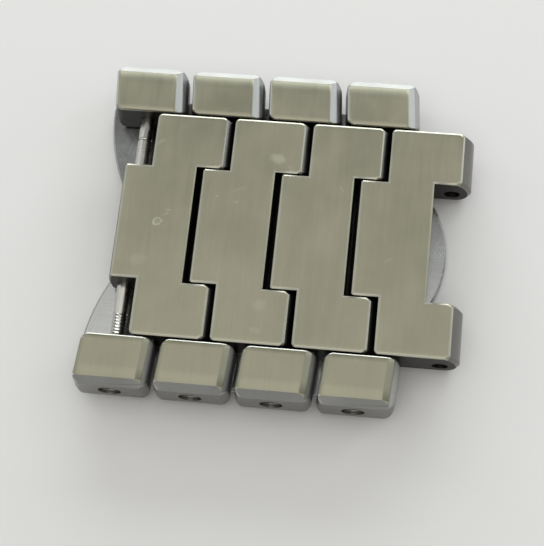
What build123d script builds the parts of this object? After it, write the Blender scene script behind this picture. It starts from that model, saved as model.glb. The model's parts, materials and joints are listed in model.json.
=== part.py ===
from build123d import *
from math import atan2, degrees, hypot, sqrt
import os

# Watch bracelet section: interlocking centre links, outer links, link screws and a folding leaf.
# All lengths are in millimetres.
# X runs along the bracelet, Y lies along the screws and Z points out of the polished top.
# The origin is the middle of the open bore at the right end, where the next link joins.

# Chain
link_count = 4
pitch = 5.0                    # from one link screw to the next
crown_height = 1.6             # from the screw axis up to the top face
belly_depth = 1.1              # from the screw axis down to the underside
overrun = 2.0                  # how far a cutting shape stands past what it cuts

# Centre link
centre_width = 14.8            # over both wings
tongue_width = 7.6
tongue_side_gap = 0.07         # tongue to the side wall of the recess that it sits in
tongue_reach = 0.67            # top edge of the tongue beyond its own screw
tongue_bulge = 0.28            # how far the tongue's end swells past its top edge
tongue_belly_radius = 0.45
recess_gap = 0.46              # top edge of a tongue to the recess wall behind it
nose_reach = 0.47              # top edge of a wing beyond the next screw
nose_bulge = 0.73              # how far the wing's nose swells past its top edge
lip_gap = 0.5                  # top edge of a nose to the lip of the next link
seat_clearance = 0.05          # swinging nose to the hollow seat under the lip
lip_corner_radius = 0.3
nose_corner_bevel = 0.22
tongue_corner_bevel = 0.1
top_edge_bevel = 0.08

# Outer link
outer_width = 3.2
outer_side_gap = 0.1           # wing to outer link
outer_left_reach = 2.2         # left end before its own screw
outer_end_gap = 0.24           # between the ends of neighbouring outer links
outer_left_lean = 0.15         # top edge of the left end behind the end itself
outer_left_shoulder = 0.5      # length of the stretch that falls towards the left end
outer_left_drop = 0.1          # how far that stretch falls
outer_right_rounding = 1.0     # from the top down into the right end
outer_end_taper = 0.15         # how far each end falls back from screw height to the underside
outer_sweep = 0.25             # how far the inner side stands ahead of the outer side
outer_bevel_width = 0.5        # polished bevel along the outer side
outer_bevel_drop = 0.42
outer_left_corner_radius = 0.5
outer_right_corner_radius = 0.75
outer_inner_corner_radius = 0.3
outer_belly_bevel = 0.2

# Link screws and keys
screw_radius = 0.45
screw_grip = 2.2               # length held in the far outer link
screw_end_gap = 0.1
screw_groove_radius = 0.38
screw_groove_width = 0.2
screw_groove_offset = 1.45     # groove from the far outer link
screw_head_radius = 0.65
screw_head_length = 0.6
screw_head_recess = 0.15       # head below the outer link's side
screw_head_clearance = 0.06
screw_slot_width = 0.22
screw_slot_depth = 0.25
running_fit = 0.05             # radial clearance of a link that swings on a screw or pin
close_fit = 0.02               # radial clearance of a piece that stays still
key_size = 0.45                # square key that ties an outer link to its centre link
key_grip = 0.8                 # length held in each of the two links
key_end_gap = 0.05
key_wall = 0.18                # metal left between the seat and the key's pocket
key_height = 0.2               # above the screw axis

# Folding leaf
leaf_gap = 0.2                 # between the links and the leaf
leaf_thickness = 0.8
leaf_width = 19.2
leaf_lobe_reach = 2.6          # tips of the forked end beyond the first screw
leaf_lobe_radius = 12.2
leaf_lobe_offset = 8.8         # centre of each lobe's round from the middle line
leaf_notch_radius = 0.8
leaf_nose_setback = 0.05       # round end short of the bore axis
leaf_nose_radius = 6.6
leaf_nose_width = 8.4
leaf_shoulder_setback = 3.2    # wide part of the leaf short of the bore axis
leaf_corner_radius = 1.0
leaf_edge_bevel = 0.1

# Leaf hinge
hinge_offset = 0.5             # hinge axis beyond the bore axis
hinge_inset = 1.7              # lug's middle from the wing's outer side
hinge_side_gap = 0.05
knuckle_radius = 0.45
lug_width = 0.8
ear_width = 0.8
ear_clearance = 0.15           # between the lug and the leaf behind it
hinge_pin_radius = 0.22
hinge_pin_inset = 0.05         # pin's ends below the ears' sides

# Derived places
top_z = crown_height
bottom_z = -belly_depth
tongue_y = tongue_width / 2
recess_y = tongue_y + tongue_side_gap
wing_y = centre_width / 2
outer_inner_y = wing_y + outer_side_gap
outer_outer_y = outer_inner_y + outer_width
recess_x = pitch - tongue_reach - recess_gap
lip_x = nose_reach + lip_gap
nose_x = nose_reach + nose_bulge
seat_radius = hypot(nose_reach, crown_height) + seat_clearance
outer_right_reach = pitch - outer_left_reach - outer_end_gap
key_x = seat_radius + key_wall + close_fit + key_size / 2
leaf_top_z = bottom_z - leaf_gap
leaf_bottom_z = leaf_top_z - leaf_thickness
hinge_z = leaf_bottom_z + knuckle_radius
hinge_middle = wing_y - hinge_inset
screw_head_y = -outer_outer_y + screw_head_recess
screw_seat_y = screw_head_y + screw_head_length
screw_tip_y = outer_inner_y + screw_grip
screw_groove_y = outer_inner_y - screw_groove_offset


def screw_x(link):
    # Links are numbered from the left, and the open bore after the last one is at zero.
    return (link - 1 - link_count) * pitch


def prism(outline, y_low, y_high):
    # A side outline drawn in X and Z, carried across from y_low to y_high.
    return extrude(Plane.XZ.offset(-y_high) * outline, amount=y_high - y_low)


def rod(radius, x, z, y_low, y_high):
    return prism(Pos(x, z) * Circle(radius), y_low, y_high)


def far_and_near(far):
    # The far shape together with its mirror image on the near side.
    return far + mirror(far, about=Plane.XZ)


def swell(edge_z, bulge, z):
    # How far an end stands past its top edge at height z, when it is upright at screw height.
    radius = (bulge * bulge + edge_z * edge_z) / (2 * bulge)
    return bulge - radius + sqrt(radius * radius - z * z)


def tongue_outline():
    end_x = -tongue_reach - tongue_bulge
    waist_z = top_z / 2
    waist = (-tongue_reach - swell(top_z, tongue_bulge, waist_z), waist_z)
    belly_start = (end_x, bottom_z + tongue_belly_radius)
    belly_end = (end_x + tongue_belly_radius, bottom_z)
    end = ThreePointArc((-tongue_reach, top_z), waist, (end_x, 0))
    fall = Line((end_x, 0), belly_start)
    belly = TangentArc(belly_start, belly_end, tangent=(0, -1))
    rest = Polyline(belly_end, (recess_x, bottom_z), (recess_x, top_z), (-tongue_reach, top_z))
    return make_face([end, fall, belly, rest])


def wing_outline():
    seat_top = (lip_x, sqrt(seat_radius**2 - lip_x**2))
    seat_end = (sqrt(seat_radius**2 - bottom_z**2), bottom_z)
    nose_top = (pitch + nose_reach, top_z)
    waist_z = top_z / 2
    waist = (pitch + nose_reach + swell(top_z, nose_bulge, waist_z), waist_z)
    nose_tip = (pitch + nose_x, 0)
    belly_end = (pitch + nose_x + bottom_z, bottom_z)
    lip = Line((lip_x, top_z), seat_top)
    seat = ThreePointArc(seat_top, (seat_radius, 0), seat_end)
    under = Line(seat_end, belly_end)
    belly = TangentArc(nose_tip, belly_end, tangent=(0, -1))
    nose = ThreePointArc(nose_tip, waist, nose_top)
    top = Line(nose_top, (lip_x, top_z))
    return make_face([lip, seat, under, belly, nose, top])


def wing():
    # Far wing: the lip's corner is rounded in plan, and the nose's corners are bevelled.
    height = top_z - bottom_z
    side_cut = Pos(lip_x, wing_y) * Rectangle(lip_corner_radius, lip_corner_radius,
                                              align=(Align.MIN, Align.MAX))
    side_cut -= Pos(lip_x + lip_corner_radius, wing_y - lip_corner_radius) * Circle(lip_corner_radius)
    body = prism(wing_outline(), tongue_y, wing_y)
    body -= Pos(0, 0, bottom_z) * extrude(side_cut, amount=height)
    recess_length = pitch + nose_x - recess_x + overrun
    body -= Pos(recess_x, 0, bottom_z) * Box(recess_length, recess_y, height,
                                             align=(Align.MIN, Align.MIN, Align.MIN))
    round_edges = body.edges().filter_by(GeomType.CIRCLE).filter_by_position(Axis.X, pitch, pitch + nose_x)
    return chamfer(round_edges, nose_corner_bevel)


def lug():
    # Ear under a wing of the last link, which the leaf's hinge pin goes through.
    neck_height = -belly_depth / 2 - hinge_z
    neck = Rectangle(2 * knuckle_radius, neck_height, align=(Align.CENTER, Align.MIN))
    outline = Pos(pitch + hinge_offset, hinge_z) * (Circle(knuckle_radius) + neck)
    return prism(outline, hinge_middle - lug_width / 2, hinge_middle + lug_width / 2)


def key_block(clearance, y_low, y_high):
    # Square bar where a key lies, or its pocket if there is a clearance.
    width = key_size + 2 * clearance
    return prism(Pos(key_x, key_height) * Rectangle(width, width), y_low, y_high)


def centre_link(is_last):
    middle = prism(tongue_outline(), -tongue_y, tongue_y)
    ends = middle.edges().filter_by_position(Axis.X, -tongue_reach - tongue_bulge, -tongue_reach)
    middle = chamfer(ends.filter_by(Axis.Y, reverse=True), tongue_corner_bevel)
    link = middle + far_and_near(wing())
    link = chamfer(link.faces().sort_by(Axis.Z)[-1].edges(), top_edge_bevel)
    if is_last:
        link += far_and_near(lug())
        hinge_x = pitch + hinge_offset
        link -= far_and_near(rod(hinge_pin_radius + running_fit, hinge_x, hinge_z, 0, wing_y))
    link -= rod(screw_radius + close_fit, 0, 0, -wing_y, wing_y)
    link -= rod(screw_radius + running_fit, pitch, 0, -wing_y, wing_y)
    link -= far_and_near(key_block(close_fit, wing_y - key_grip - key_end_gap, wing_y))
    return link


def outer_outline():
    # Side outline half way across: a flat top, a gentle fall at the left and a round fall at the right.
    left_top = (-outer_left_reach + outer_left_lean, top_z - outer_left_drop)
    flat_left = (left_top[0] + outer_left_shoulder, top_z)
    flat_right = (outer_right_reach - outer_right_rounding, top_z)
    right_top = (outer_right_reach, top_z - outer_right_rounding)
    top = Line(flat_left, flat_right)
    right_fall = TangentArc(flat_right, right_top, tangent=(1, 0))
    rest = Polyline(right_top, (outer_right_reach, 0), (outer_right_reach - outer_end_taper, bottom_z),
                    (-outer_left_reach + outer_end_taper, bottom_z), (-outer_left_reach, 0), left_top)
    left_fall = TangentArc(flat_left, left_top, tangent=(-1, 0))
    outline = make_face([top, right_fall, rest, left_fall])
    return chamfer(outline.vertices().group_by(Axis.Y)[0], outer_belly_bevel)


def outer_plan():
    # Outline from above at its widest, with the ends swept and the corners rounded.
    lean = outer_sweep / 2
    stretch = hypot(outer_width, outer_sweep) / outer_width
    left_x = -outer_left_reach * stretch
    right_x = outer_right_reach * stretch
    plan = make_face(Polyline((left_x + lean, outer_inner_y), (right_x + lean, outer_inner_y),
                              (right_x - lean, outer_outer_y), (left_x - lean, outer_outer_y), close=True))
    inner_corners, outer_corners = plan.vertices().group_by(Axis.Y)
    plan = fillet(inner_corners, outer_inner_corner_radius)
    outer_corners = plan.vertices().group_by(Axis.Y)[-1].sort_by(Axis.X)
    plan = fillet(outer_corners[0], outer_left_corner_radius)
    outer_corners = plan.vertices().group_by(Axis.Y)[-1].sort_by(Axis.X)
    return fillet(outer_corners[-1], outer_right_corner_radius)


def bevel_cut():
    # Wedge that takes the polished bevel off the outer side. Its slant goes on past both faces.
    slope = outer_bevel_drop / outer_bevel_width
    low = (outer_outer_y + overrun, top_z - outer_bevel_drop - slope * overrun)
    high = (outer_outer_y - outer_bevel_width - overrun, top_z + slope * overrun)
    wedge = make_face(Polyline(low, high, (low[0], high[1]), close=True))
    reach = outer_left_reach + outer_sweep + overrun
    return extrude(Plane.YZ * wedge, amount=reach, both=True)


def outer_link():
    # Far outer link. Its ends are swept, so its bar is turned before the plan gives it its sides.
    across = outer_width / 2 + overrun
    turn = degrees(atan2(outer_sweep, outer_width))
    bar = Pos(0, outer_inner_y + outer_width / 2) * Rot(0, 0, turn) * prism(outer_outline(), -across, across)
    bar -= bevel_cut()
    return bar & extrude(Pos(0, 0, bottom_z) * outer_plan(), amount=top_z - bottom_z)


def screw_holes(link, is_near):
    # The near link takes the screw's head, and the far one holds its end in a closed hole.
    if is_near:
        head_floor = outer_outer_y - screw_head_recess - screw_head_length
        head_space = screw_head_radius + screw_head_clearance
        link -= rod(screw_radius + close_fit, 0, 0, 0, outer_outer_y)
        return link - rod(head_space, 0, 0, head_floor, outer_outer_y)
    return link - rod(screw_radius + close_fit, 0, 0, 0, screw_tip_y + screw_end_gap)


def link_screw():
    # Turned from the tip at the far end to the slotted head at the near end.
    half_groove = screw_groove_width / 2
    profile = Polyline(
        (0, screw_tip_y),
        (screw_radius, screw_tip_y),
        (screw_radius, screw_groove_y + half_groove),
        (screw_groove_radius, screw_groove_y + half_groove),
        (screw_groove_radius, screw_groove_y - half_groove),
        (screw_radius, screw_groove_y - half_groove),
        (screw_radius, screw_seat_y),
        (screw_head_radius, screw_seat_y),
        (screw_head_radius, screw_head_y),
        (0, screw_head_y),
        close=True)
    screw = revolve(make_face(profile), Axis.Y)
    slot = Box(2 * screw_head_radius, 2 * screw_slot_depth, screw_slot_width)
    return screw - Pos(0, screw_head_y, 0) * slot


def leaf_plan():
    # Forked at the left, round at the right, and drawn for the far half first.
    half_width = leaf_width / 2
    tip_x = screw_x(1) - leaf_lobe_reach
    centre_x = tip_x + leaf_lobe_radius
    notch_x = centre_x - sqrt(leaf_lobe_radius**2 - leaf_lobe_offset**2)
    corner_x = centre_x - sqrt(leaf_lobe_radius**2 - (half_width - leaf_lobe_offset) ** 2)
    lobe = ThreePointArc((notch_x, 0), (tip_x, leaf_lobe_offset), (corner_x, half_width))
    shoulder_x = -leaf_shoulder_setback
    rest = Polyline((corner_x, half_width), (shoulder_x, half_width), (shoulder_x, 0), (notch_x, 0))
    half = make_face([lobe, rest])
    plan = half + mirror(half, about=Plane.XZ)
    outer_corners = plan.vertices().filter_by(lambda corner: abs(corner.Y) > leaf_lobe_offset)
    plan = fillet(outer_corners, leaf_corner_radius)
    plan = fillet(plan.vertices().filter_by(lambda corner: abs(corner.Y) < leaf_notch_radius), leaf_notch_radius)
    nose_centre_x = -leaf_nose_setback - leaf_nose_radius
    nose_strip = Pos(nose_centre_x) * Rectangle(leaf_nose_radius, leaf_nose_width,
                                                align=(Align.MIN, Align.CENTER))
    return plan + (Pos(nose_centre_x) * Circle(leaf_nose_radius) & nose_strip)


def ear_block():
    # Far pair of ears, with the space between them that the last link's lug turns in.
    inner_y = hinge_middle - lug_width / 2 - hinge_side_gap - ear_width
    outer_y = hinge_middle + lug_width / 2 + hinge_side_gap + ear_width
    strap_length = leaf_shoulder_setback + leaf_corner_radius + hinge_offset
    strap_height = leaf_top_z - hinge_z
    strap = Rectangle(strap_length, leaf_thickness, align=(Align.MAX, Align.MAX))
    outline = Pos(hinge_offset, hinge_z) * (Pos(0, strap_height) * strap + Circle(knuckle_radius))
    block = prism(outline, inner_y, outer_y)
    space_reach = knuckle_radius + ear_clearance
    space = Pos(hinge_offset, hinge_z) * Rectangle(2 * space_reach, 2 * space_reach)
    block -= prism(space, inner_y + ear_width, outer_y - ear_width)
    return block - rod(hinge_pin_radius + close_fit, hinge_offset, hinge_z, inner_y, outer_y)


def leaf():
    plate = extrude(Pos(0, 0, leaf_bottom_z) * leaf_plan(), amount=leaf_thickness)
    rims = plate.faces().sort_by(Axis.Z)[-1].edges() + plate.faces().sort_by(Axis.Z)[0].edges()
    return chamfer(rims, leaf_edge_bevel) + far_and_near(ear_block())


def hinge_pin():
    half_length = lug_width / 2 + hinge_side_gap + ear_width - hinge_pin_inset
    return rod(hinge_pin_radius, hinge_offset, hinge_z, hinge_middle - half_length, hinge_middle + half_length)


def all_pieces():
    plain_link = centre_link(False)
    last_link = centre_link(True)
    blank = outer_link() - key_block(close_fit, outer_inner_y, outer_inner_y + key_grip + key_end_gap)
    far_link = screw_holes(blank, False)
    near_link = mirror(screw_holes(blank, True), about=Plane.XZ)
    screw = link_screw()
    far_key = key_block(0, wing_y - key_grip, outer_inner_y + key_grip)
    near_key = mirror(far_key, about=Plane.XZ)
    pieces = {"leaf": leaf(), "hinge_pin_far": hinge_pin(), "hinge_pin_near": mirror(hinge_pin(), about=Plane.XZ)}
    for link in range(1, link_count + 1):
        place = Pos(screw_x(link), 0, 0)
        pieces[f"centre_link_{link}"] = place * (last_link if link == link_count else plain_link)
        pieces[f"outer_link_far_{link}"] = place * far_link
        pieces[f"outer_link_near_{link}"] = place * near_link
        pieces[f"link_screw_{link}"] = place * screw
        pieces[f"link_key_far_{link}"] = place * far_key
        pieces[f"link_key_near_{link}"] = place * near_key
    return pieces


os.makedirs("parts", exist_ok=True)
for name, piece in all_pieces().items():
    export_step(piece, f"parts/{name}.step")
    print(name, round(piece.volume, 2))
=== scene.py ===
import json
import math
import bpy
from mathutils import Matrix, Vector

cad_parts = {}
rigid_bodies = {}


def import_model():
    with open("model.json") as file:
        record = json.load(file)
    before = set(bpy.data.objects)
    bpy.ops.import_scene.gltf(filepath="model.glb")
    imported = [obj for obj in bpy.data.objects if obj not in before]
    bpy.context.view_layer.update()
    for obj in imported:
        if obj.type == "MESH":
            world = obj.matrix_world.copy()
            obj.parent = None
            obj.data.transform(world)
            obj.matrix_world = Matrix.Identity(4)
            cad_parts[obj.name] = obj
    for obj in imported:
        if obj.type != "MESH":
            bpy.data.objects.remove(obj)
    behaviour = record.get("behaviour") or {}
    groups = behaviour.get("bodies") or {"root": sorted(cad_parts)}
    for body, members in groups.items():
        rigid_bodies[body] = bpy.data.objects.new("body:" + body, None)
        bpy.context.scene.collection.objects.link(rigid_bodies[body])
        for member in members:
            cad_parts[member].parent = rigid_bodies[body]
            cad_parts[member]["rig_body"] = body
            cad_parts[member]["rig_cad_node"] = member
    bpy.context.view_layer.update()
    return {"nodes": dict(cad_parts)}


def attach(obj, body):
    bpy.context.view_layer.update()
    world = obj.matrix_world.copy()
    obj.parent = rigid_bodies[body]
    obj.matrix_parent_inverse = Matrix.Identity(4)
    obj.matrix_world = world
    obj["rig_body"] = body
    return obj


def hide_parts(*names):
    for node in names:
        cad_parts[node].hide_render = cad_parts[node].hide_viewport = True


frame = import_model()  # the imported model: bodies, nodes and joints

# Watch bracelet section. Pieces are shaped in millimetres and brought to metres when they are settled.
mm = 0.001
linkCount = 4
linkPitch = 5.0
topHeight = 1.6  # top of the links above the screws
seam = 0.0005  # points nearer to each other than this are one
oneFlat = 0.5  # degrees by which triangles of one flat face may differ
print("frame loaded")


class Wire:  # one node output, so that shader maths reads as plain sums
    def __init__(self, tree, socket=None):
        self.tree = tree
        self.socket = socket

    def node(self, kind, settings, values, output=0):
        made = self.tree.nodes.new(kind)
        for name, value in settings.items():
            setattr(made, name, value)
        for name, value in values.items():
            if isinstance(value, Wire):
                self.tree.links.new(value.socket, made.inputs[name])
            else:
                made.inputs[name].default_value = value
        return Wire(self.tree, made.outputs[output])

    def sum(self, operation, first, second=0.0):
        return self.node("ShaderNodeMath", {"operation": operation}, {0: first, 1: second})

    def __add__(self, other):
        return self.sum("ADD", self, other)

    def __radd__(self, other):
        return self.sum("ADD", other, self)

    def __sub__(self, other):
        return self.sum("SUBTRACT", self, other)

    def __rsub__(self, other):
        return self.sum("SUBTRACT", other, self)

    def __mul__(self, other):
        return self.sum("MULTIPLY", self, other)

    def __rmul__(self, other):
        return self.sum("MULTIPLY", other, self)

    def __truediv__(self, other):
        return self.sum("DIVIDE", self, other)

    def __rtruediv__(self, other):
        return self.sum("DIVIDE", other, self)

    def __abs__(self):
        return self.sum("ABSOLUTE", self)

    def above(self, limit):  # 1 over the limit, 0 under it
        return self.sum("GREATER_THAN", self, limit)

    def below(self, limit):
        return self.sum("LESS_THAN", self, limit)

    def held(self):  # kept from 0 to 1
        return self.node("ShaderNodeClamp", {}, {"Value": self})

    def along(self, axis):
        return self.node("ShaderNodeSeparateXYZ", {}, {"Vector": self}, axis)

    def stretched(self, amounts):
        return self.node("ShaderNodeVectorMath", {"operation": "MULTIPLY"}, {0: self, 1: amounts})

    def turned(self, degrees):
        turn = (0, 0, math.radians(degrees))
        return self.node("ShaderNodeMapping", {}, {"Vector": self, "Rotation": turn})

    def noise(self, lumps, detail):  # lumps per millimetre along each axis
        values = {"Vector": self.stretched(lumps), "Scale": 1.0, "Detail": detail}
        return self.node("ShaderNodeTexNoise", {}, values)

    def between(self, first, second):  # colour mixed by this value
        first, second = [(*end, 1) if isinstance(end, tuple) else end for end in (first, second)]
        settings = {"data_type": "RGBA", "blend_type": "MIX", "clamp_factor": True}
        return self.node("ShaderNodeMix", settings, {0: self, 6: first, 7: second}, 2)


def newMaterial(name):
    material = bpy.data.materials.new(name)
    material.use_nodes = True
    tree = material.node_tree
    return material, tree, tree.nodes["Principled BSDF"]


def feed(tree, wire, shader, name):
    tree.links.new(wire.socket, shader.inputs[name])


# The finishes, which share one graph
satinLook = {
    "name": "satinSteel",
    "colour": (0.384, 0.366, 0.272),
    "shade": (0.262, 0.261, 0.196),
    "rubbed": (0.52, 0.515, 0.43),
    "roughness": 0.40,
    "roughnessRange": 0.07,
    "grain": (24.0, 0.35, 24.0),  # fine brushing along the screws
    "grainHeight": 0.0009,
    "bands": (3.2, 0.22, 3.2),
    "scratchHeight": 0.0008,
    "scratchShare": 0.60,
    "scratchTone": 0.16,
    "lean": 0.007,  # painted light: a little lighter for each millimetre towards the far side, where the window light comes from
    "crown": {  # how the tops fall away towards their edges
        "left": -20.67,  # left edge of the first tongue's top
        "length": 4.5,
        "wingFrom": 3.83,  # y at which the wings start, further to the right
        "wingShift": 1.64,
        "outerFrom": 7.45,  # y at which the outer links start, further to the left
        "outerShift": 3.02,
        "reach": 0.5,
        "sideFall": 0.030,
        "rightShare": 0.7,
        "wingEdge": 7.40,
        "wingReach": 0.35,
        "wingShare": 0.6,
        "outerFall": 0.095,
        "outerEdge": 9.45,
        "outerReach": 0.75,
        "innerEdge": 7.50,
        "innerReach": 0.40,
        "innerShare": 0.5,
    },
}
rimLook = {  # the centre links' worn edges
    "name": "rimSteel",
    "colour": (0.45, 0.44, 0.365),
    "shade": (0.31, 0.305, 0.245),
    "rubbed": (0.54, 0.535, 0.48),
    "roughness": 0.34,
    "roughnessRange": 0.10,
    "grain": (6.0, 3.0, 6.0),
    "grainHeight": 0.0012,
    "bands": (1.4, 1.1, 1.4),
    "scratchHeight": 0.0010,
    "scratchShare": 0.5,
    "scratchTone": 0.3,
}
bevelLook = {
    "name": "bevelSteel",
    "colour": (0.62, 0.62, 0.59),
    "shade": (0.52, 0.52, 0.49),
    "rubbed": (0.68, 0.68, 0.66),
    "roughness": 0.37,
    "roughnessRange": 0.07,
    "grain": (9.0, 1.2, 9.0),
    "grainHeight": 0.0005,
    "bands": (1.6, 0.4, 1.6),
    "scratchHeight": 0.0010,
    "scratchShare": 0.5,
    "scratchTone": 0.35,
}
endShadeChanges = {  # the bevel at the right end, painted darker so that it mirrors the light from the right less
    "name": "endShadeSteel",
    "colour": (0.49, 0.495, 0.475),
    "shade": (0.36, 0.365, 0.35),
    "rubbed": (0.58, 0.585, 0.57),
    "roughness": 0.45,
}
# painted shade: the sides are darker than the steel is, standing in for the dark surroundings they would
# mirror
sideShadeLook = {
    "name": "sideShadeSteel",
    "colour": (0.23, 0.223, 0.208),
    "shade": (0.15, 0.145, 0.134),
    "rubbed": (0.32, 0.31, 0.29),
    "roughness": 0.30,
    "roughnessRange": 0.10,
    "grain": (2.0, 3.0, 14.0),
    "grainHeight": 0.0008,
    "bands": (0.6, 0.6, 3.0),
    "scratchHeight": 0.0012,
    "scratchShare": 0.5,
    "scratchTone": 0.4,
}
underLook = {  # the undersides, brushed across and rubbed by the wrist
    "name": "underSteel",
    "colour": (0.50, 0.50, 0.475),
    "shade": (0.36, 0.36, 0.335),
    "rubbed": (0.60, 0.60, 0.58),
    "roughness": 0.33,
    "roughnessRange": 0.12,
    "grain": (18.0, 0.5, 8.0),
    "grainHeight": 0.0008,
    "bands": (2.2, 0.3, 2.2),
    "scratchHeight": 0.0010,
    "scratchShare": 0.5,
    "scratchTone": 0.4,
}
wallShadeLook = {  # the walls that face a neighbour: dull, and painted dark as the shade that falls between the links
    "name": "wallShadeSteel",
    "colour": (0.055, 0.053, 0.048),
    "shade": (0.030, 0.029, 0.026),
    "rubbed": (0.13, 0.125, 0.115),
    "roughness": 0.46,
    "roughnessRange": 0.12,
    "grain": (8.0, 2.0, 10.0),
    "grainHeight": 0.0012,
    "bands": (1.2, 0.8, 2.4),
    "scratchHeight": 0.0008,
    "scratchShare": 0.52,
    "scratchTone": 0.5,
}
leafLook = {
    "name": "leafSteel",
    "colour": (0.44, 0.46, 0.46),
    "shade": (0.29, 0.292, 0.28),
    "rubbed": (0.60, 0.61, 0.61),
    "roughness": 0.19,
    "roughnessRange": 0.08,
    "grain": (0.9, 11.0, 8.0),
    "grainHeight": 0.0006,
    "bands": (0.35, 2.2, 1.6),
    "scratchHeight": 0.0010,
    "scratchShare": 0.45,
    "scratchTone": 0.45,
    "coveredShade": {  # painted shade where the links cover the leaf
        "from": (-18.9, -5.4, -1.66),
        "to": (-1.5, 5.4, 0),
        "soft": (1.3, 1.6, 0.06),
        "ragged": (1.6, 1.6, 0),
        "lumps": (0.45, 0.45, 0.45),
        "detail": 4.0,
        "least": 0.7,  # where the clouds are thinnest
        "clouds": 0.5,
        "colour": (0.055, 0.052, 0.046),
        "roughness": 0.35,
    },
}
screwLook = {
    "name": "screwSteel",
    "colour": (0.60, 0.59, 0.545),
    "shade": (0.46, 0.45, 0.41),
    "rubbed": (0.66, 0.65, 0.62),
    "roughness": 0.24,
    "roughnessRange": 0.09,
    "grain": (0.8, 24.0, 0.8),  # turning marks round the shank
    "grainHeight": 0.0007,
    "bands": (1.0, 4.0, 1.0),
    "scratchHeight": 0.0006,
    "scratchShare": 0.4,
    "scratchTone": 0.4,
}
scuffs = [  # marks of use on the tops: place and half sizes in millimetres
    {"at": (-18.20, 0.02), "size": (0.34, 0.27), "turn": 25, "ring": 4.5, "strength": 0.85},
    {"at": (-18.22, 0.00), "size": (0.22, 0.18), "turn": 0, "ring": 0, "strength": 0.15},
    {"at": (-17.57, 0.83), "size": (0.20, 0.05), "turn": 8, "ring": 0, "strength": 0.4},
    {"at": (-17.70, 0.56), "size": (0.26, 0.06), "turn": 35, "ring": 0, "strength": 0.25},
    {"at": (-11.07, 4.81), "size": (0.55, 0.36), "turn": -12, "ring": 0, "strength": 0.42},
    {"at": (-18.59, 5.46), "size": (0.42, 0.14), "turn": 40, "ring": 0, "strength": 0.22},
    {"at": (-13.39, 1.68), "size": (0.18, 0.06), "turn": -10, "ring": 0, "strength": 0.4},
    {"at": (-14.63, 1.99), "size": (0.13, 0.07), "turn": 30, "ring": 0, "strength": 0.3},
    {"at": (-19.09, -2.58), "size": (0.60, 0.45), "turn": 10, "ring": 0, "strength": 0.14},
    {"at": (-11.23, -4.92), "size": (0.50, 0.40), "turn": 25, "ring": 0, "strength": 0.16},
    {"at": (-11.30, -6.53), "size": (0.42, 0.20), "turn": -15, "ring": 0, "strength": 0.14},
    {"at": (-6.90, 3.10), "size": (0.30, 0.06), "turn": -50, "ring": 0, "strength": 0.2},
    {"at": (-3.60, -1.40), "size": (0.34, 0.05), "turn": 35, "ring": 0, "strength": 0.2},
]
scuffShape = {  # what all the scuffs have in common, as shares of their half sizes
    "height": 1000,  # millimetres, so that a scuff goes on down over an edge
    "lumps": (7.0, 7.0, 7.0),
    "detail": 3.0,
    "ragged": 0.9,
    "ringAt": 0.78,
    "rimAt": 1.05,
    "rimSharpness": 2.2,
    "roughness": 0.12,
}
hairlines = {  # thin scratches, a few each way, in patches
    "turns": (17, -38, 71),
    "lumps": (2.6, 0.16, 2.6),
    "thinness": 70,
    "patches": (0.7, 0.5, 0.7),
    "patchSharpness": 9,
    "roughness": 0.06,
}
noiseMix = {  # what the grain, the bands and the broadest noise add to tone, roughness and height
    "clouds": (0.35, 0.28, 0.35),  # lumps of the broadest noise
    "fineDetail": 3.0,
    "bandDetail": 2.0,
    "grainTone": 0.40,
    "bandTone": 0.35,
    "toneStart": -0.37,
    "cloudRoughness": 2,
    "roughStart": -1.5,
    "bandHeight": 1.5,
}


def crownHeight(place, crown):
    along = place.along("X")
    across = abs(place.along("Y"))
    onWing = across.above(crown["wingFrom"])
    onOuter = across.above(crown["outerFrom"])
    start = onWing * crown["wingShift"] - onOuter * crown["outerShift"] + crown["left"]
    local = along.sum("FLOORED_MODULO", along - start, linkPitch)
    left = (1 - local / crown["reach"]).held()
    right = (1 - (crown["length"] - local) / crown["reach"]).held()
    inner = (1 - (across - crown["innerEdge"]) / crown["innerReach"]).held() * onOuter
    outer = ((across - crown["outerEdge"]) / crown["outerReach"]).held()
    wingEdge = (1 - (crown["wingEdge"] - across) / crown["wingReach"]).held() * (1 - onOuter)
    sides = left * left + right * right * crown["rightShare"] + wingEdge * wingEdge * crown["wingShare"]
    ends = outer * outer + inner * inner * crown["innerShare"]
    return sides * -crown["sideFall"] - ends * crown["outerFall"]


def coveredShadeMask(place, clouds, coveredShade):
    mask = (clouds * coveredShade["clouds"] + coveredShade["least"]).held()
    for number, axis in enumerate("XYZ"):
        low, high, soft, ragged = [coveredShade[name][number] for name in ("from", "to", "soft", "ragged")]
        along = place.along(axis) + (place.noise(coveredShade["lumps"], coveredShade["detail"]) - 0.5) * ragged
        mask = mask * ((along - low) / soft).held() * ((high - along) / soft).held()
    return mask


def scuffMask(place, scuff):
    moved = place.node("ShaderNodeMapping", {"vector_type": "TEXTURE"}, {
        "Vector": place,
        "Location": (*scuff["at"], 0),
        "Scale": (*scuff["size"], scuffShape["height"]),
        "Rotation": (0, 0, math.radians(scuff["turn"])),
    })
    reach = moved.node("ShaderNodeVectorMath", {"operation": "LENGTH"}, {0: moved}, "Value")
    lumps = place.noise(scuffShape["lumps"], scuffShape["detail"]) - 0.5
    ragged = reach + lumps * scuffShape["ragged"]
    if scuff["ring"]:
        return (1 - abs(ragged - scuffShape["ringAt"]) * scuff["ring"]).held() * scuff["strength"]
    return ((scuffShape["rimAt"] - ragged) * scuffShape["rimSharpness"]).held() * scuff["strength"]


def hairlineMask(place, share):
    mask = 0
    for degrees in hairlines["turns"]:
        crossing = place.turned(degrees)
        line = 1 - abs(crossing.noise(hairlines["lumps"], 0.0) - 0.5) * hairlines["thinness"]
        patch = (crossing.noise(hairlines["patches"], 1.0) - share) * hairlines["patchSharpness"]
        mask = line.held() * patch.held() + mask
    return mask.held()


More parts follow.
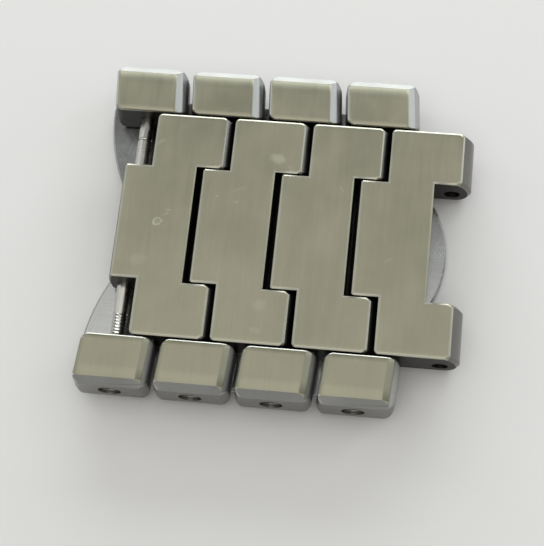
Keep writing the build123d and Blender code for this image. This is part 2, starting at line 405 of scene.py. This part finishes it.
def steel(look):  # one graph for all the finishes: grain, tone bands, fine scratches, rubbed spots, and painted light and shade where a finish asks for them
    material, tree, shader = newMaterial(look["name"])
    place = Wire(tree).node("ShaderNodeTexCoord", {}, {}, "Object").stretched((1 / mm,) * 3)
    grain = place.noise(look["grain"], noiseMix["fineDetail"])
    bands = place.noise(look["bands"], noiseMix["bandDetail"])
    clouds = place.noise(noiseMix["clouds"], noiseMix["fineDetail"])
    scratches = hairlineMask(place, look["scratchShare"])
    tone = grain * noiseMix["grainTone"] + bands * noiseMix["bandTone"] + clouds + noiseMix["toneStart"]
    colour = tone.held().between(look["shade"], look["colour"])
    colour = (scratches * look["scratchTone"]).between(colour, look["rubbed"])
    uneven = clouds * noiseMix["cloudRoughness"] + bands + noiseMix["roughStart"]
    rough = uneven * look["roughnessRange"] + look["roughness"] + scratches * hairlines["roughness"]
    # painted light: the colour grows lighter towards the far side, as if lit from there
    if "lean" in look:
        paintedFarLight = place.along("Y") * look["lean"] + 1
        paintedFarLight = paintedFarLight.node("ShaderNodeCombineXYZ", {}, {axis: paintedFarLight for axis in "XYZ"})
        colour = colour.stretched(paintedFarLight)
    # painted shade: the leaf is darkened where the links cover it
    if "coveredShade" in look:
        mask = coveredShadeMask(place, clouds, look["coveredShade"])
        colour = mask.between(colour, look["coveredShade"]["colour"])
        rough = rough + mask * look["coveredShade"]["roughness"]
    for scuff in look.get("scuffs", []):
        mask = scuffMask(place, scuff)
        colour = mask.between(colour, look["rubbed"])
        rough = rough + mask * scuffShape["roughness"]
    height = (grain + bands * noiseMix["bandHeight"]) * look["grainHeight"]
    height = height - scratches * look["scratchHeight"]
    if "crown" in look:
        height = height + crownHeight(place, look["crown"])
    values = {"Height": height * mm, "Distance": 1.0, "Strength": 1.0}
    bump = height.node("ShaderNodeBump", {}, values)
    shader.inputs["Metallic"].default_value = 1.0
    feed(tree, colour, shader, "Base Color")
    feed(tree, rough, shader, "Roughness")
    feed(tree, bump, shader, "Normal")
    return material


satinSteel = steel({**satinLook, "scuffs": scuffs})
rimSteel = steel(rimLook)
bevelSteel = steel(bevelLook)
endShadeSteel = steel({**bevelLook, **endShadeChanges})
sideShadeSteel = steel(sideShadeLook)
underSteel = steel(underLook)
wallShadeSteel = steel(wallShadeLook)
leafSteel = steel(leafLook)
screwSteel = steel(screwLook)
print("finishes ready")


def only(piece):  # nothing else stays selected
    bpy.ops.object.select_all(action="DESELECT")
    piece.select_set(True)
    bpy.context.view_layer.objects.active = piece


def applyPlace(piece):
    only(piece)
    bpy.ops.object.transform_apply(location=True, rotation=True, scale=True)


def roughCopy(node, name):  # copy of a CAD node in millimetres, its triangles joined into whole faces
    only(frame["nodes"][node])
    bpy.ops.object.duplicate()
    piece = bpy.context.object
    piece.name = name
    piece.data.name = name
    piece.data.materials.clear()
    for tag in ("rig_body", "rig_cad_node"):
        del piece[tag]
    bpy.ops.object.parent_clear(type="CLEAR_KEEP_TRANSFORM")
    piece.scale = (1 / mm,) * 3
    applyPlace(piece)
    bpy.ops.mesh.customdata_custom_splitnormals_clear()
    bpy.ops.object.mode_set(mode="EDIT")
    bpy.ops.mesh.select_all(action="SELECT")
    bpy.ops.mesh.remove_doubles(threshold=seam)
    bpy.ops.mesh.dissolve_limited(angle_limit=math.radians(oneFlat))
    bpy.ops.object.mode_set(mode="OBJECT")
    return piece


def useModifier(piece, kind, settings):
    only(piece)
    bpy.ops.object.modifier_add(type=kind)
    modifier = piece.modifiers[-1]
    for name, value in settings.items():
        setattr(modifier, name, value)
    bpy.ops.object.modifier_apply(modifier=modifier.name)


def roundEdges(piece, look):
    useModifier(piece, "BEVEL", {
        "width": look["edge"],
        "segments": look["edgeSteps"],
        "limit_method": "ANGLE",
        "angle_limit": math.radians(look["sharpFrom"]),
        "offset_type": "OFFSET",
    })


def markFaces(piece, chosen):  # goes on in edit mode with just the chosen faces selected
    only(piece)
    bpy.ops.object.mode_set(mode="EDIT")
    bpy.ops.mesh.select_mode(type="FACE")
    bpy.ops.mesh.select_all(action="DESELECT")
    bpy.ops.object.mode_set(mode="OBJECT")
    for face in piece.data.polygons:
        face.select = chosen(face)
    bpy.ops.object.mode_set(mode="EDIT")


def markEdges(piece, chosen):  # the same for edges, chosen by the two faces beside them
    only(piece)
    bpy.ops.object.mode_set(mode="EDIT")
    bpy.ops.mesh.select_mode(type="EDGE")
    bpy.ops.mesh.select_all(action="DESELECT")
    bpy.ops.object.mode_set(mode="OBJECT")
    beside = {}
    for face in piece.data.polygons:
        for key in face.edge_keys:
            beside.setdefault(key, []).append(face)
    for edge in piece.data.edges:
        edge.select = chosen(*beside[edge.key])
    bpy.ops.object.mode_set(mode="EDIT")


def joinCrumbs(piece, chosen, crumb, flat):  # narrow facets would fold under a wide bevel
    markFaces(piece, chosen)
    bpy.ops.mesh.remove_doubles(threshold=crumb)
    bpy.ops.mesh.dissolve_limited(angle_limit=math.radians(flat))
    bpy.ops.object.mode_set(mode="OBJECT")


def softenCorners(piece, chosen, width, steps):
    markEdges(piece, chosen)
    bpy.ops.mesh.bevel(offset=width, offset_type="OFFSET", segments=steps, affect="EDGES")
    bpy.ops.object.mode_set(mode="OBJECT")


def lidAt(level):  # chooses the flat face that closes a piece at this level
    flatNormal, nearby = 0.99, 0.01
    return lambda face: abs(face.normal.z) > flatNormal and face.center.z > level - nearby


def newTop(piece, level, crumb):  # cuts the piece off flat, closes it and clears crumbs off the new rim
    markFaces(piece, lambda face: True)
    bpy.ops.mesh.bisect(plane_co=(0, 0, level), plane_no=(0, 0, 1), use_fill=True,
                        clear_outer=True, threshold=seam)
    bpy.ops.object.mode_set(mode="OBJECT")
    markFaces(piece, lidAt(level))
    bpy.ops.mesh.remove_doubles(threshold=crumb)
    bpy.ops.object.mode_set(mode="OBJECT")


def stepUp(piece, level, steps):  # the top rises to its full height in narrowing rings
    markFaces(piece, lidAt(level))
    for width, rise in steps:
        bpy.ops.mesh.inset(thickness=width, depth=rise)
    bpy.ops.mesh.select_all(action="SELECT")
    bpy.ops.mesh.normals_make_consistent(inside=False)
    bpy.ops.object.mode_set(mode="OBJECT")


def takeAway(piece, cutter):
    settings = {"operation": "DIFFERENCE", "object": cutter, "solver": "EXACT"}
    useModifier(piece, "BOOLEAN", settings)
    only(cutter)
    bpy.ops.object.delete()


def smoothShade(piece, degrees):
    only(piece)
    bpy.ops.object.shade_smooth_by_angle(angle=math.radians(degrees))
    useModifier(piece, "WEIGHTED_NORMAL", {"keep_sharp": True, "weight": 80})


def dress(piece, materials, choose=None):  # choose gives a face its place in the list of materials
    for material in materials:
        piece.data.materials.append(material)
    if choose:
        for face in piece.data.polygons:
            face.material_index = choose(face)


def copyAlong(piece, name, distance):  # a copy with its own mesh, so many millimetres along the bracelet
    only(piece)
    bpy.ops.object.duplicate()
    twin = bpy.context.object
    twin.name = name
    twin.data.name = name
    twin.location.x += distance
    applyPlace(twin)
    return twin


def settle(piece, body, slot, *nodes):  # to metres, on its body, in the place of its CAD nodes
    piece.scale = (mm,) * 3
    applyPlace(piece)
    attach(piece, body)
    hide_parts(*nodes)


def nearTop(face, turnedUp, depth):  # turned up at least this much, within this depth of the top
    return face.normal.z > turnedUp and face.center.z > topHeight - depth


# Centre links
topFace, rimFace, sideFace, wallFace, underFace, endFace = range(6)  # places in a link's list of materials
centreLook = {
    "shoulder": 1.50,  # height at which the rounding to the top begins
    "crumb": 0.07,
    "rim": [(0.022, 0.045), (0.080, 0.035), (0.055, 0.020)],  # width and rise of each ring
    "edge": 0.035,
    "edgeSteps": 2,
    "sharpFrom": 38,
    "smooth": 38,
    "finish": {  # for each kind of face, how far its normal turns that way
        "top": (0.95, 0.3),  # upwards, and within this depth of the top
        "rim": (0.1, 0.16),
        "recess": (0.2, 4),  # to the right, and nearer to the middle line than this
        "under": 0.4,
        "wall": 0.9,
    },
}


def centreFinish(face):  # satin top, bright rim, ends and sides painted dark as shade, and walls painted dark with the shade between the links
    finish = centreLook["finish"]
    recessTurn, recessSide = finish["recess"]
    if nearTop(face, *finish["top"]):
        return topFace
    if nearTop(face, *finish["rim"]):  # the recess's own rim hardly shows
        atRecess = face.normal.x > recessTurn and abs(face.center.y) < recessSide
        return topFace if atRecess else rimFace
    if -face.normal.z > finish["under"]:
        return underFace
    # walls get the finish painted dark with the shade between the links
    if abs(face.normal.y) > finish["wall"] or -face.normal.x > finish["wall"]:
        return wallFace
    return sideFace


def centreLink(node, name):
    piece = roughCopy(node, name)
    roundEdges(piece, centreLook)
    newTop(piece, centreLook["shoulder"], centreLook["crumb"])
    stepUp(piece, centreLook["shoulder"], centreLook["rim"])
    dress(piece, [satinSteel, rimSteel, sideShadeSteel, wallShadeSteel, underSteel], centreFinish)
    smoothShade(piece, centreLook["smooth"])
    return piece


centreLinks = [centreLink("centre_link_1", "centreLink1")]
for number in range(2, linkCount):
    centreLinks.append(copyAlong(centreLinks[0], f"centreLink{number}", (number - 1) * linkPitch))
centreLinks.append(centreLink(f"centre_link_{linkCount}", f"centreLink{linkCount}"))  # has the hinge lugs
for number, piece in enumerate(centreLinks, 1):
    settle(piece, f"link_{number}", "satin_links", f"centre_link_{number}")
print("centre links made")


# Outer links
outerLook = {
    "middle": (-20.0, 9.1),  # x of the screw and y half way across
    "sweep": 0.078,  # how far the ends fall back for each millimetre outwards
    "corners": [  # x from the screw, y, radius, lean in degrees
        (-2.20, 7.50, 0.55, 5.7), (-2.20, 10.70, 0.55, 5.7), (2.56, 7.50, 0.52, 0.0)],
    "cornerSides": 28,
    "barHeight": 8,
    "postSize": (2, 2, 6),
    "crumb": 0.10,
    "flat": 7,
    "crumbsAbove": 0.75,
    "rimRound": 0.12,
    "rimSteps": 4,
    "rimAbove": 0.9,
    "rimTurn": 0.3,  # least upward turn of the face inside the rim
    "upright": 0.22,  # and most of the face outside it
    "edge": 0.06,
    "edgeSteps": 3,
    "sharpFrom": 26,
    "smooth": 40,
    "innerSide": 7.9,  # faces nearer to the middle line than this look at a wing
    "bevelSide": 9.9,  # a near link's bevel starts here
    "outerSide": 10.65,
    "finish": {  # as for the centre links
        "top": (0.94, 0.35),
        "nearEnd": (0.7, 0.3),  # upwards, and to the left or right
        "farEdge": (0.3, 0.2),  # upwards, and towards the wing
        "bevel": (0.1, 1.05),
        "end": 0.3,
        "wall": 0.5,
        "under": 0.4,
    },
}


def cornerCutter(corner, look, sign):  # a post with a hollow round side
    x, y, radius, lean = corner
    middleX, middleY = look["middle"]
    postX, postY, _ = look["postSize"]
    towardsX = 1 if x < 0 else -1
    towardsY = 1 if y < middleY else -1
    roundY = y + towardsY * radius
    roundX = x + middleX + towardsX * radius - (roundY - middleY) * look["sweep"]
    bpy.ops.object.select_all(action="DESELECT")
    bpy.ops.mesh.primitive_cylinder_add(vertices=look["cornerSides"], radius=radius,
                                        depth=look["barHeight"], location=(roundX, sign * roundY, 0))
    bar = bpy.context.object
    applyPlace(bar)
    place = (roundX - towardsX * postX / 2, sign * (roundY - towardsY * postY / 2), 0)
    bpy.ops.object.select_all(action="DESELECT")
    bpy.ops.mesh.primitive_cube_add(size=1, location=place, scale=look["postSize"])
    post = bpy.context.object
    applyPlace(post)
    takeAway(post, bar)
    only(post)
    bpy.ops.transform.rotate(value=-math.radians(lean), orient_axis="Y",
                             center_override=(roundX, sign * roundY, 0))
    return post


def isRimEdge(one, other):  # where the top meets upright faces, but not along the bevel's foot
    if other.normal.z > one.normal.z:
        one, other = other, one
    inside = one.normal.z > outerLook["rimTurn"] and one.center.z > outerLook["rimAbove"]
    outside = abs(other.normal.z) < outerLook["upright"] and abs(other.center.y) <= outerLook["outerSide"]
    return inside and outside


def outerFinish(face):  # satin top, bright bevels, right ends painted darker to mirror less light, sides painted dark as shade and a wall towards the wing painted dark with the shade between the links
    finish = outerLook["finish"]
    nearUp, nearAside = finish["nearEnd"]
    farUp, farAside = finish["farEdge"]
    turn, y = face.normal, face.center.y
    if nearTop(face, *finish["top"]):
        return topFace
    if turn.z > nearUp and abs(turn.x) > nearAside and -outerLook["bevelSide"] < y < 0:
        return topFace  # the brushing goes on over a near link's ends
    if turn.z > farUp and -turn.y > farAside and 0 < y < outerLook["innerSide"]:
        return topFace  # and over a far link's edge towards its wing
    if nearTop(face, *finish["bevel"]):
        # right-facing bevels get the finish painted darker, so they mirror less light
        return endFace if turn.x > finish["end"] else rimFace
    # the wall towards the wing gets the finish painted dark with the shade between the links
    if abs(y) < outerLook["innerSide"] and abs(turn.y) > finish["wall"]:
        return wallFace
    return underFace if -turn.z > finish["under"] else sideFace


for side, sign in (("far", 1), ("near", -1)):
    first = roughCopy(f"outer_link_{side}_1", f"outerLink_{side}_1")
    for corner in outerLook["corners"]:
        takeAway(first, cornerCutter(corner, outerLook, sign))
    joinCrumbs(first, lambda face: face.center.z > outerLook["crumbsAbove"], outerLook["crumb"],
               outerLook["flat"])
    softenCorners(first, isRimEdge, outerLook["rimRound"], outerLook["rimSteps"])
    roundEdges(first, outerLook)
    dress(first, [satinSteel, bevelSteel, sideShadeSteel, wallShadeSteel, underSteel, endShadeSteel], outerFinish)
    smoothShade(first, outerLook["smooth"])
    row = [first]
    for number in range(2, linkCount + 1):
        row.append(copyAlong(first, f"outerLink_{side}_{number}", (number - 1) * linkPitch))
    for number, piece in enumerate(row, 1):
        settle(piece, f"link_{number}", "satin_links", f"outer_link_{side}_{number}")
print("outer links made")


# Link screws
screwSettings = {
    "firstX": -20.0,
    "sides": 40,
    "steps": [  # y and radius from the tip to the head
        (9.70, 0.36), (9.62, 0.44), (9.50, 0.45), (6.155, 0.45), (6.12, 0.39), (6.08, 0.375),
        (6.02, 0.375), (5.98, 0.39), (5.945, 0.45), (-5.62, 0.45), (-5.74, 0.415), (-9.80, 0.415),
        (-9.80, 0.45), (-9.95, 0.45), (-9.95, 0.61), (-9.99, 0.65), (-10.43, 0.65), (-10.50, 0.63),
        (-10.54, 0.585), (-10.55, 0.53)],
    "slotLength": 2,
    "slotWidth": 0.22,
    "slotDepth": 0.25,
    "threadPitch": 0.2,
    "threadTurns": 20,
    "threadStart": -5.74,
    "threadRoot": 0.405,
    "threadCrest": 0.45,
    "threadFlank": 0.47,  # half of the ridge's foot, as a share of the thread's pitch
    "threadSteps": 28,
    "smooth": 38,
}


def turnedBar(name, look):  # a round bar lengthened and widened ring by ring
    x = look["firstX"]
    y, radius = look["steps"][0]
    bpy.ops.object.select_all(action="DESELECT")
    bpy.ops.mesh.primitive_circle_add(vertices=look["sides"], radius=radius, fill_type="NGON",
                                      location=(x, y, 0), rotation=(math.radians(90), 0, 0))
    piece = bpy.context.object
    piece.name = name
    piece.data.name = name
    applyPlace(piece)
    bpy.ops.object.mode_set(mode="EDIT")
    bpy.ops.mesh.select_mode(type="FACE")
    bpy.ops.mesh.select_all(action="SELECT")
    for nextY, nextRadius in look["steps"][1:]:
        bpy.ops.mesh.extrude_region_move(TRANSFORM_OT_translate={"value": (0, nextY - y, 0)})
        bpy.ops.transform.resize(value=(nextRadius / radius,) * 3, center_override=(x, nextY, 0))
        y, radius = nextY, nextRadius
    bpy.ops.mesh.select_all(action="SELECT")
    bpy.ops.mesh.normals_make_consistent(inside=False)
    bpy.ops.object.mode_set(mode="OBJECT")
    return piece


def cutSlot(piece, look):
    y, _ = look["steps"][-1]
    size = (look["slotLength"], 2 * look["slotDepth"], look["slotWidth"])
    bpy.ops.object.select_all(action="DESELECT")
    bpy.ops.mesh.primitive_cube_add(size=1, location=(look["firstX"], y, 0), scale=size)
    cutter = bpy.context.object
    applyPlace(cutter)
    takeAway(piece, cutter)


def thread(look):  # a three-cornered ridge carried round the shank
    bpy.ops.object.select_all(action="DESELECT")
    bpy.ops.mesh.primitive_circle_add(vertices=3, radius=1, location=(0, 0, 0))
    piece = bpy.context.object
    half = look["threadPitch"] * look["threadFlank"]
    corners = [(look["threadRoot"], half), (look["threadCrest"], 0), (look["threadRoot"], -half)]
    for vertex, (out, along) in zip(piece.data.vertices, corners):
        vertex.co = (out, look["threadStart"] + along, 0)
    useModifier(piece, "SCREW", {
        "axis": "Y",
        "screw_offset": -look["threadPitch"],
        "iterations": look["threadTurns"],
        "steps": look["threadSteps"],
        "render_steps": look["threadSteps"],
        "use_merge_vertices": False,
    })
    piece.location = (look["firstX"], 0, 0)
    applyPlace(piece)
    bpy.ops.object.mode_set(mode="EDIT")
    bpy.ops.mesh.select_all(action="SELECT")
    bpy.ops.mesh.fill_holes(sides=3)
    bpy.ops.mesh.select_all(action="SELECT")
    bpy.ops.mesh.normals_make_consistent(inside=False)
    bpy.ops.object.mode_set(mode="OBJECT")
    return piece


def linkScrew(name, look):
    piece = turnedBar(name, look)
    cutSlot(piece, look)
    ridge = thread(look)
    only(piece)
    ridge.select_set(True)
    bpy.ops.object.join()
    dress(piece, [screwSteel])
    smoothShade(piece, look["smooth"])
    return piece


screws = [linkScrew("linkScrew1", screwSettings)]
for number in range(2, linkCount + 1):
    screws.append(copyAlong(screws[0], f"linkScrew{number}", (number - 1) * linkPitch))
for number, piece in enumerate(screws, 1):
    settle(piece, f"link_{number}", "screw_steel", f"link_screw_{number}")
print("screws made")


# Leaf, its hinge pins and the hidden keys
leafSettings = {"edge": 0.045, "edgeSteps": 3, "sharpFrom": 28, "smooth": 40}
pinSettings = {"edge": 0.04, "edgeSteps": 3, "sharpFrom": 28, "smooth": 40}


def roundedCopy(node, name, material, look):
    piece = roughCopy(node, name)
    roundEdges(piece, look)
    dress(piece, [material])
    smoothShade(piece, look["smooth"])
    return piece


settle(roundedCopy("leaf", "foldingLeaf", leafSteel, leafSettings), "leaf", "polished_leaf", "leaf")
for side in ("far", "near"):
    pin = roundedCopy(f"hinge_pin_{side}", f"hingePin_{side}", screwSteel, pinSettings)
    settle(pin, "leaf", "pin_steel", f"hinge_pin_{side}")
    for number in range(1, linkCount + 1):  # the keys stay as the CAD has them, in turned steel
        for slot in frame["nodes"][f"link_key_{side}_{number}"].material_slots:
            slot.material = screwSteel
print("leaf, pins and keys made")


# Floor, lamps and world
stageSettings = {
    "floorLevel": -2.12,
    "floorSize": 4000,
    "floorCells": 8,
    "floorColour": (0.80, 0.79, 0.77),
    "floorRoughness": 0.75,
    "touching": 0.5,  # glossy rays shorter than this go through, which keeps the leaf's underside lit
    "worldColour": (1.0, 1.0, 1.0),
    "worldLevel": 0.26,
}
lampSettings = {  # place and aim in millimetres, level as the brightness of its face
    "windowLight": {"place": (0, 317, 91), "aim": (0, 0, 0), "size": (420, 180), "level": 4.9,
                    "colour": (0.92, 0.97, 1.0)},
    "ceilingLight": {"place": (-20, -76, 330), "aim": (-20, -76, 0), "size": (330, 380), "level": 1.14,
                     "colour": (1.0, 0.985, 0.94)},
    "leftLight": {"place": (-274, 58, 175), "aim": (0, 0, 0), "size": (300, 340), "level": 0.70,
                  "colour": (0.96, 0.99, 1.0)},
    "farRightLight": {"place": (276, 196, 160), "aim": (0, 40, 0), "size": (110, 300), "level": 1.3,
                      "colour": (0.86, 0.93, 1.0)},
    "rightLight": {"place": (276, 74, 165), "aim": (0, 0, 0), "size": (280, 320), "level": 0.56,
                   "colour": (0.95, 0.98, 1.0)},
}


def floor(look):
    bpy.ops.object.select_all(action="DESELECT")
    bpy.ops.mesh.primitive_grid_add(x_subdivisions=look["floorCells"], y_subdivisions=look["floorCells"],
                                    size=look["floorSize"] * mm,
                                    location=(0, 0, look["floorLevel"] * mm))
    piece = bpy.context.object
    piece.name = "floor"
    material, tree, shader = newMaterial("paleFloor")
    shader.inputs["Base Color"].default_value = (*look["floorColour"], 1)
    shader.inputs["Roughness"].default_value = look["floorRoughness"]
    start = Wire(tree)
    behind = start.node("ShaderNodeNewGeometry", {}, {}, "Backfacing")  # clear when seen from below
    glossy = start.node("ShaderNodeLightPath", {}, {}, "Is Glossy Ray")
    reach = start.node("ShaderNodeLightPath", {}, {}, "Ray Length")
    touching = glossy * reach.below(look["touching"] * mm)
    clear = start.node("ShaderNodeBsdfTransparent", {}, {})
    solid = Wire(tree, shader.outputs[0])
    share = behind.sum("MAXIMUM", behind, touching)
    both = start.node("ShaderNodeMixShader", {}, {0: share, 1: solid, 2: clear})
    tree.links.new(both.socket, tree.nodes["Material Output"].inputs["Surface"])
    dress(piece, [material])


def softLamp(name, look):
    place = Vector(look["place"]) * mm
    aim = Vector(look["aim"]) * mm
    bpy.ops.object.light_add(type="AREA", location=place)
    lamp = bpy.context.object
    lamp.name = name
    lamp.rotation_euler = (aim - place).to_track_quat("-Z", "Y").to_euler()
    lamp.data.shape = "RECTANGLE"
    lamp.data.size = look["size"][0] * mm
    lamp.data.size_y = look["size"][1] * mm
    lamp.data.energy = look["level"] * math.pi * lamp.data.size * lamp.data.size_y
    lamp.data.color = look["colour"]
    lamp.visible_camera = False


floor(stageSettings)
for name, look in lampSettings.items():
    softLamp(name, look)
world = bpy.data.worlds.new("studio")
world.use_nodes = True
background = world.node_tree.nodes["Background"]
background.inputs["Color"].default_value = (*stageSettings["worldColour"], 1)
background.inputs["Strength"].default_value = stageSettings["worldLevel"]
bpy.context.scene.world = world
bpy.context.scene.view_settings.view_transform = "Standard"
print("stage set")


# Camera, at the photograph's angle
cameraSettings = {
    "place": (-1.842, -31.374, 87.489),
    "turn": (18.817, 3.845, 6.003),
    "lens": 97.53,
    "sensor": 36,
    "nearest": 1,  # what lies nearer or farther isn't drawn
    "farthest": 20000,
}
bpy.ops.object.camera_add(location=[along * mm for along in cameraSettings["place"]],
                          rotation=[math.radians(angle) for angle in cameraSettings["turn"]])
camera = bpy.context.object
camera.name = "camera"
camera.data.sensor_width = cameraSettings["sensor"]
camera.data.lens = cameraSettings["lens"]
camera.data.clip_start = cameraSettings["nearest"] * mm
camera.data.clip_end = cameraSettings["farthest"] * mm
bpy.context.scene.camera = camera
print("camera set")
